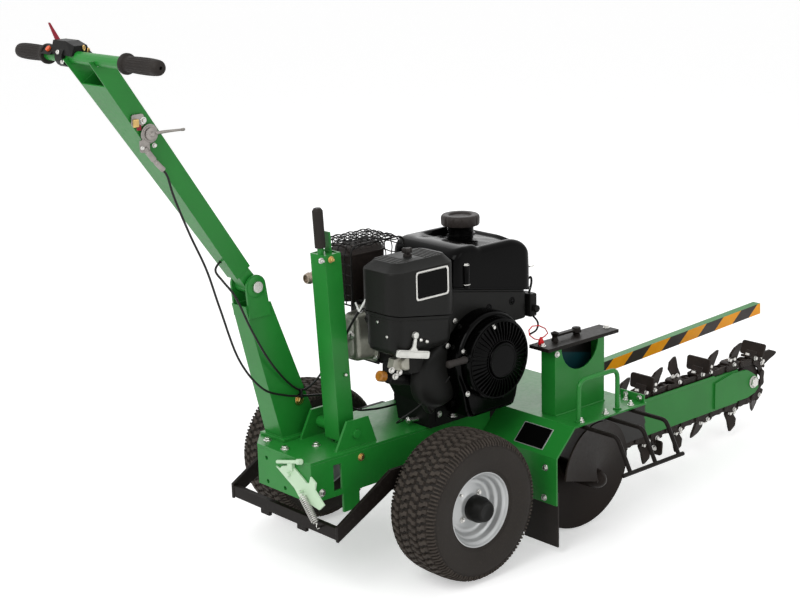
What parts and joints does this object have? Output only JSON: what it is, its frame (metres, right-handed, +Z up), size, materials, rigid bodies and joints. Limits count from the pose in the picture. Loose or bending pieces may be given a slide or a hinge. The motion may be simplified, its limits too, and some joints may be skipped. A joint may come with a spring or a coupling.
{
  "type": "walk-behind trencher",
  "caption": "Walk-behind trencher with engine, folding handle column, tilting wheel carriage, side auger and a toothed digging chain on a boom.",
  "frame": {"origin": "middle of the machine's footprint on the ground", "axes": "+X forwards along the digging boom, +Y to the machine's left, away from the auger, +Z up"},
  "size_m": [2.1359, 0.8212, 1.2325],
  "materials": {
    "green": "semi-gloss paint",
    "pale_green": "semi-gloss paint",
    "hazard": "yellow and black stripes",
    "black_paint": "satin paint",
    "silver": "silver paint",
    "steel": "plated",
    "chain": "oiled steel",
    "engine_block": "black cast alloy",
    "rocker_alloy": "cast",
    "rubber": "matt",
    "tyre": "matt",
    "black_plastic": "grained",
    "cable_sleeve": "smooth",
    "gloss_black": "gloss",
    "red": "gloss",
    "orange": "gloss",
    "amber": "gloss"
  },
  "bodies": {
    "chassis": {"deck_plate": "green", "chassis_box": "green", "lower_column": "green", "hinge_pin": "steel", "post_pin": "steel", "wing_plate": "green", "mud_flap": "rubber", "tower_cover": "green", "tower_top_plate": "black_paint", "lanyard": "red", "grab_handle": "green", "guard_bars": "black_paint", "crankcase": "engine_block", "rocker_cover": "rocker_alloy", "muffler": "black_paint", "muffler_guard": "black_paint", "cowl": "black_plastic", "fan_housing": "gloss_black", "recoil_cover": "black_plastic", "air_cleaner_base": "black_plastic", "air_cleaner_cover": "black_plastic", "fuel_tank": "gloss_black", "boom_bar": "green", "tip_idler": "steel", "digging_chain": "chain", "drive_guard": "green", "throttle_cable": "cable_sleeve", "stop_cable": "cable_sleeve"},
    "handle": {"upper_column": "green", "handlebar": "green", "grip_near": "rubber", "grip_far": "rubber", "control_housing": "black_plastic", "throttle_base": "steel"},
    "stop_switch": {"stop_lever": "red"},
    "kill_button": {"stop_button": "orange"},
    "throttle": {"throttle_lever": "steel"},
    "post": {"lever_post": "green", "post_grip": "rubber"},
    "post_release": {"release_tab": "green"},
    "carriage": {"carriage_frame": "black_paint", "axle": "steel"},
    "wheel_near": {"tyre_near": "tyre", "rim_near": "silver", "hub_cap_near": "black_plastic"},
    "wheel_far": {"tyre_far": "tyre", "rim_far": "silver", "hub_cap_far": "black_plastic"},
    "latch": {"latch_plate": "pale_green", "latch_spring": "steel"},
    "cap": {"fuel_cap": "black_plastic"},
    "cleaner_knob": {"air_cleaner_knob": "black_plastic"},
    "starter_pull": {"starter_grip": "black_plastic"},
    "choke": {"choke_lever": "steel"},
    "oil_filler_plug": {"oil_plug": "amber"},
    "hazard_arm": {"hazard_bar": "hazard"},
    "auger_drive": {"head_shaft": "steel", "auger": "black_paint"},
    "clutch": {"clutch_drum": "steel"}
  },
  "joints": [
    {"name": "handle_fold", "type": "hinge", "parent": "chassis", "child": "handle", "pos_m": [-0.6817, 0.1586, 0.651], "axis": [0, 1, 0], "range_deg": [0, 90], "deforming": ["throttle_cable", "stop_cable"]},
    {"name": "stop_lever_throw", "type": "hinge", "parent": "handle", "child": "stop_switch", "pos_m": [-1.0367, 0.2589, 1.1925], "axis": [0, 1, 0], "range_deg": [-25, 25]},
    {"name": "stop_button_push", "type": "slide", "parent": "handle", "child": "kill_button", "axis": [0.7219, 0, -0.6919], "range_m": [0, 0.002], "stiffness_N_per_m": 400, "springref_m": -0.001},
    {"name": "throttle_turn", "type": "hinge", "parent": "handle", "child": "throttle", "pos_m": [-0.9387, 0.1049, 1.015], "axis": [0, 1, 0], "range_deg": [-60, 40]},
    {"name": "carriage_tilt", "type": "hinge", "parent": "chassis", "child": "carriage", "pos_m": [-0.2267, 0.0686, 0.235], "axis": [0, 1, 0], "range_deg": [-12, 0], "deforming": ["latch_spring"]},
    {"name": "lever_tilt", "type": "hinge", "parent": "chassis", "child": "post", "pos_m": [-0.5407, 0.0386, 0.32], "axis": [0, 1, 0], "range_deg": [-31, 0]},
    {"name": "release_squeeze", "type": "hinge", "parent": "post", "child": "post_release", "pos_m": [-0.55306, 0.0386, 0.7182], "axis": [0, 1, 0], "range_deg": [-5, 0], "stiffness_Nm_per_rad": 0.6, "springref_deg": 5.73},
    {"name": "wheel_spin_near", "type": "hinge", "parent": "carriage", "child": "wheel_near", "pos_m": [-0.3917, -0.1954, 0.165], "axis": [0, 1, 0], "continuous": true},
    {"name": "wheel_spin_far", "type": "hinge", "parent": "carriage", "child": "wheel_far", "pos_m": [-0.3917, 0.3326, 0.165], "axis": [0, 1, 0], "continuous": true},
    {"name": "latch_swing", "type": "hinge", "parent": "chassis", "child": "latch", "pos_m": [-0.6842, 0.0386, 0.25], "axis": [1, 0, 0], "range_deg": [0, 8], "stiffness_Nm_per_rad": 2, "springref_deg": -17.19, "deforming": ["latch_spring"]},
    {"name": "cap_turn", "type": "hinge", "parent": "chassis", "child": "cap", "pos_m": [-0.1357, 0.0686, 0.707], "axis": [0, 0, 1], "range_deg": [0, 90]},
    {"name": "cleaner_knob_turn", "type": "hinge", "parent": "chassis", "child": "cleaner_knob", "pos_m": [-0.4117, -0.0564, 0.7003], "axis": [0, 0, 1], "range_deg": [0, 180]},
    {"name": "starter_pull_out", "type": "slide", "parent": "chassis", "child": "starter_pull", "axis": [-1, 0, 0], "range_m": [0, 0.25], "stiffness_N_per_m": 60, "springref_m": -0.08},
    {"name": "choke_turn", "type": "hinge", "parent": "chassis", "child": "choke", "pos_m": [-0.4457, -0.1157, 0.543], "axis": [0, 1, 0], "range_deg": [0, 30]},
    {"name": "oil_plug_turn", "type": "hinge", "parent": "chassis", "child": "oil_filler_plug", "pos_m": [-0.4497, -0.0314, 0.4301], "axis": [-0.9483, 0, 0.3173], "range_deg": [0, 90]},
    {"name": "hazard_lift", "type": "hinge", "parent": "chassis", "child": "hazard_arm", "pos_m": [0.1533, 0.1106, 0.221], "axis": [0, 1, 0], "range_deg": [-45, 0]},
    {"name": "auger_spin", "type": "hinge", "parent": "chassis", "child": "auger_drive", "pos_m": [-0.0267, 0.0686, 0.14], "axis": [0, 1, 0], "continuous": true},
    {"name": "clutch_spin", "type": "hinge", "parent": "chassis", "child": "clutch", "pos_m": [-0.2267, 0.1886, 0.44], "axis": [0, 1, 0], "continuous": true}
  ],
  "couplings": [
    {"joint": "lever_tilt", "follows": "carriage_tilt", "ratio": 2.5},
    {"joint": "clutch_spin", "follows": "auger_spin", "ratio": 1.5}
  ]
}
